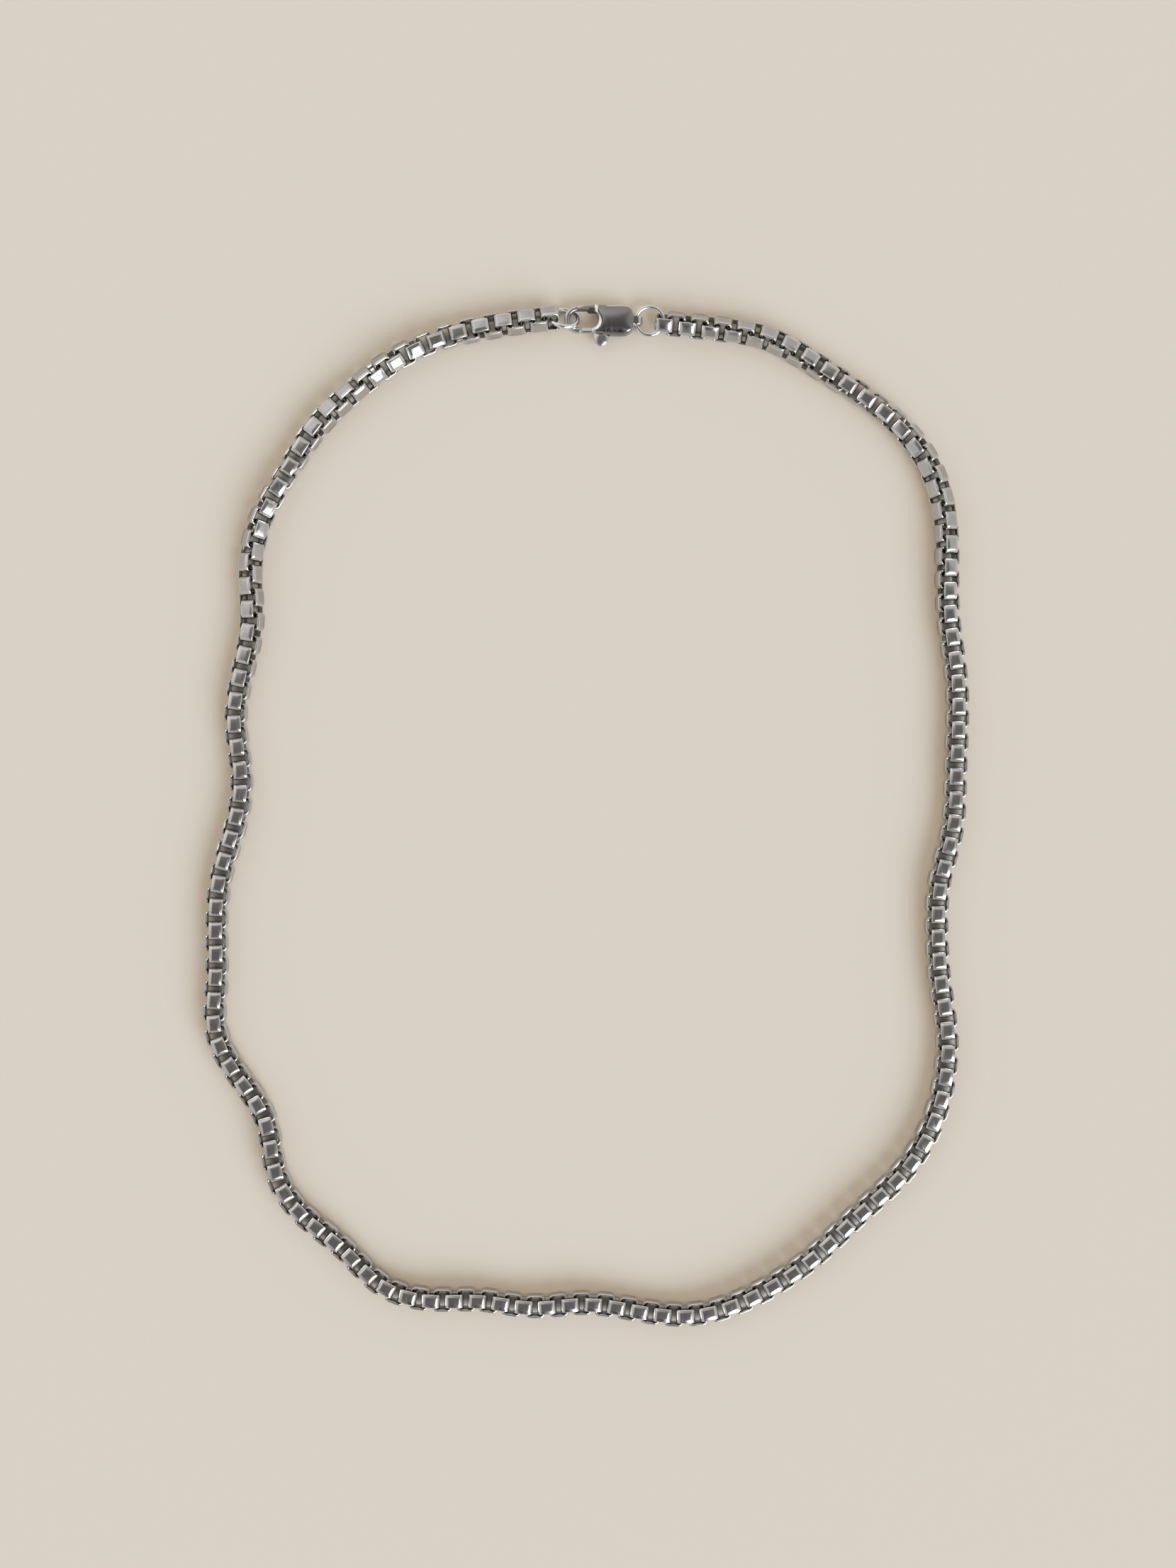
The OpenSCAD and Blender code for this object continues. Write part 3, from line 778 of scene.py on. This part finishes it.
def dome_reflection_mask(x, y, z):
    """1 on the domed shell behind the rim, which a painted dark reflection darkens; 0 on its upper
    edge, the rim, the hook and the lug.
    """
    behind = np.clip(rim_edge(x, y) / 0.06 + 1.2, 0, 1)
    inward = (abs(z) - SHELL_EDGE_MM) / SHELL_EDGE_FADE_MM + 1
    inner = np.clip(np.maximum(inward, -1 - y), 0, 1)
    return behind * inner * np.clip((x - EYE_RIGHT_MM + EYE_CORNER_MM / 2) / 0.4, 0, 1)


def rim_highlight_mask(x, y, z):
    """1 on the slope of the rim beside the opening and on the shell's upper edge, which a painted
    highlight brightens.
    """
    edge = rim_edge(x, y)
    band = np.clip(1.2 + edge / RIM_SLOPE_MM, 0, 1) * np.clip(-edge / 0.05, 0, 1)
    band = band * np.clip((x - RIM_START_MM) / 0.3, 0, 1) * (abs(z) > RIM_LOW_MM)
    outward = np.clip((SHELL_EDGE_MM - abs(z)) / SHELL_EDGE_FADE_MM, 0, 1)
    return np.maximum(band, np.clip(edge / 0.1, 0, 1) * outward * np.clip(y, 0, 1))


def eye_shade_mask(x, y, z):
    """1 on the walls of the opening and in the recess beside it, which painted shade darkens."""
    wall = np.clip(1.3 - abs(eye_wall(x, y, z)) / EYE_WALL_FADE_MM, 0, 1)
    start, end, high = RECESS_MM
    slant = x - start - 0.4 * (y - 1)
    recess = np.clip(np.minimum(np.minimum(slant, end - x), high - y) / 0.08, 0, 1) * (y > 1)
    return np.maximum(wall, recess)


def cast(name, shape, box, step, origin, metal, masks):
    """A smooth casting of the shape, given in millimetres about origin, with its masks of painted
    light and shade.
    """
    points, faces = skin(shape, *box, step)
    for _ in range(SETTLE_ROUNDS):
        way = slope_at(shape, points)
        off = shape(*points.T) / np.maximum((way**2).sum(axis=1), 0.2)
        points = points - way * np.clip(off, -step / 2, step / 2)[:, None]
    way = slope_at(shape, points, 0.02)
    way /= np.maximum(np.linalg.norm(way, axis=1), 1e-6)[:, None]
    mesh = bpy.data.meshes.new(name)
    mesh.from_pydata((points * MM + np.array(origin)).tolist(), [], faces.tolist())
    mesh.materials.append(metal)
    mesh.shade_smooth()
    mesh.normals_split_custom_set_from_vertices(way.tolist())
    for label, mask in masks.items():
        layer = mesh.attributes.new(label, "FLOAT", "POINT")
        layer.data.foreach_set("value", mask(*points.T).astype(np.float32))
    made = bpy.data.objects.new(name, mesh)
    bpy.context.scene.collection.objects.link(made)
    return made


# Jump rings


def make_ring(name, node, metal, seam_at):
    """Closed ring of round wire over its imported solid, with the fine butt seam of a jump ring."""
    co, tris = solid_arrays(node)
    middle, axes = middle_and_axes(co, tris)
    normal = Vector(axes[:, 0])
    if normal.z < 0:
        normal = -normal
    side = Vector((1, 0, 0)) - normal * normal.x
    side.normalize()
    turn = Matrix((side, normal.cross(side), normal)).transposed()
    around = np.linspace(0, 2 * math.pi, RING_FACES, endpoint=False)
    stops = [(a, 0) for a in around if abs(a - seam_at) > SEAM_REACH]
    stops += [(seam_at + off, pinch) for off, pinch in SEAM]
    points, faces = [], []
    for a, pinch in sorted(stops):
        for k in range(WIRE_FACES):
            b = 2 * math.pi * k / WIRE_FACES
            wire = WIRE_RADIUS * (1 - pinch)
            out = RING_RADIUS + wire * math.cos(b)
            p = turn @ Vector((out * math.cos(a), out * math.sin(a), wire * math.sin(b)))
            points.append(p + Vector(middle))
    for i in range(len(stops)):
        here, there = i * WIRE_FACES, (i + 1) % len(stops) * WIRE_FACES
        for k in range(WIRE_FACES):
            m = (k + 1) % WIRE_FACES
            faces.append((here + k, there + k, there + m, here + m))
    mesh = bpy.data.meshes.new(name)
    mesh.from_pydata(points, [], faces)
    mesh.materials.append(metal)
    mesh.shade_smooth()
    made = bpy.data.objects.new(name, mesh)
    bpy.context.scene.collection.objects.link(made)
    return made


# Floor, light and camera


def lay_floor():
    """Plain pale surface under the necklace, with painted light: a warm glow of its own, full where
    it sees open sky, that lifts and warms its shadows.
    """
    corners = ((-1, -1), (1, -1), (1, 1), (-1, 1))
    mesh = bpy.data.meshes.new("floor")
    mesh.from_pydata([(x * FLOOR_HALF, y * FLOOR_HALF, 0) for x, y in corners], [], [(0, 1, 2, 3)])
    paper = bpy.data.materials.new("pale floor")
    paper.use_nodes = True
    shader = paper.node_tree.nodes["Principled BSDF"]
    shader.inputs["Base Color"].default_value = PAPER_TONE
    shader.inputs["Emission Color"].default_value = PAINTED_GLOW_TONE
    sky = add(paper.node_tree, "ShaderNodeAmbientOcclusion", samples=8, Distance=PAINTED_GLOW_REACH)
    glow = soft_step(paper.node_tree, sky.outputs["AO"], PAINTED_GLOW_OPEN)
    paper.node_tree.links.new(glow, shader.inputs["Emission Strength"])
    shader.inputs["Roughness"].default_value = 0.9
    shader.inputs["Specular IOR Level"].default_value = 0.1
    mesh.materials.append(paper)
    floor = bpy.data.objects.new("floor", mesh)
    bpy.context.scene.collection.objects.link(floor)


def light_room():
    """A soft room: dark straight overhead, pale walls all round and a window on the lower right."""
    world = bpy.data.worlds.new("room")
    bpy.context.scene.world = world
    world.use_nodes = True
    tree = world.node_tree
    link = tree.links.new
    way = tree.nodes.new("ShaderNodeTexCoord")
    shine = add(tree, "ShaderNodeCombineXYZ").outputs["Vector"]
    for towards, inner, outer, colour in ROOM_LIGHTS:
        toward = add(tree, "ShaderNodeVectorMath", operation="DOT_PRODUCT")
        toward.inputs[1].default_value = Vector(towards).normalized()
        link(way.outputs["Generated"], toward.inputs[0])
        edges = (math.cos(math.radians(outer)), math.cos(math.radians(inner)))
        band = soft_step(tree, toward.outputs["Value"], edges)
        more = add(tree, "ShaderNodeVectorMath", operation="MULTIPLY_ADD")
        more.inputs[1].default_value = colour
        link(band, more.inputs[0])
        link(shine, more.inputs[2])
        shine = more.outputs["Vector"]
    link(shine, tree.nodes["Background"].inputs["Color"])


def set_camera():
    """Straight down over the loop, as the photograph was taken."""
    view = bpy.data.cameras.new("camera")
    view.sensor_fit = "VERTICAL"
    view.sensor_height = 24
    tall = FRAME_PIXELS[1] / PIXELS_PER_MM * MM
    view.lens = view.sensor_height * (CAMERA_HEIGHT - CHAIN_MIDDLE_HEIGHT) / tall
    view.clip_start = 0.01
    view.clip_end = 10
    camera = bpy.data.objects.new("camera", view)
    camera.location = (*VIEW_CENTRE, CAMERA_HEIGHT)
    bpy.context.scene.collection.objects.link(camera)
    bpy.context.scene.camera = camera


# The necklace

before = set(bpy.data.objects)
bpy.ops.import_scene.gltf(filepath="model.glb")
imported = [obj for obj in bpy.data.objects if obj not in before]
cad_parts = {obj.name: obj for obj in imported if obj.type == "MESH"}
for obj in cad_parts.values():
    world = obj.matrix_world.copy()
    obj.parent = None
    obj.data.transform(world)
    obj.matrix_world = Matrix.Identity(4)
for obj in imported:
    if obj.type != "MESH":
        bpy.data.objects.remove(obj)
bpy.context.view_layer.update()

marks = polish_marks()
chain_steel = steel("chain steel", marks)
round_plates_and_paint_middles(chain_steel)
tint_by(chain_steel, "link_tone", LINK_TONE, LINK_SHARE)
tint_by(chain_steel, "link_inside", INSIDE_TONE)
clasp_steel = steel("clasp steel", marks)
# The clasp's painted dark reflection on the dome, painted highlight on the rim and painted shade in
# the opening
tint_by(clasp_steel, "dome", DOME_PAINTED_REFLECTION)
tint_by(clasp_steel, "rim", RIM_PAINTED_HIGHLIGHT)
tint_by(clasp_steel, "eye_wall", EYE_PAINTED_SHADE)
lever_steel = steel("lever steel", marks)
ring_steel = steel("ring steel", marks)
pin_steel = steel("pin steel", marks)

chain = make_chain(chain_steel)
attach(chain, "necklace")
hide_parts("box_chain")

low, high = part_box("clasp_body")
clasp_at = (
    low.x + (HOOK_MIDLINE_MM + HOOK_HALF_BAR_MM) * MM,
    high.y - (BODY_HALF_WIDTH_MM - BODY_DROP_MM) * MM,
    (low.z + high.z) / 2,
)
# Masks of the painted dark reflection, painted highlight and painted shade on the casting
masks = {"dome": dome_reflection_mask, "rim": rim_highlight_mask, "eye_wall": eye_shade_mask}
body = cast(
    "clasp_casting", clasp_body_shape, BODY_BOX_MM, BODY_STEP_MM, clasp_at, clasp_steel, masks
)
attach(body, "necklace")
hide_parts("clasp_body")

lever = cast("clasp_gate", lever_shape, LEVER_BOX_MM, LEVER_STEP_MM, clasp_at, lever_steel, {})
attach(lever, "lever")
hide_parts("clasp_lever")

for name, node, seam in RINGS:
    ring = make_ring(name, node, ring_steel, seam)
    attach(ring, "necklace")
    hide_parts(node)

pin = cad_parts["lever_pin"]
for slot in pin.material_slots:
    slot.material = pin_steel

lay_floor()
light_room()
set_camera()
bpy.context.scene.view_settings.view_transform = "Standard"
bpy.context.scene.view_settings.exposure = 0.0
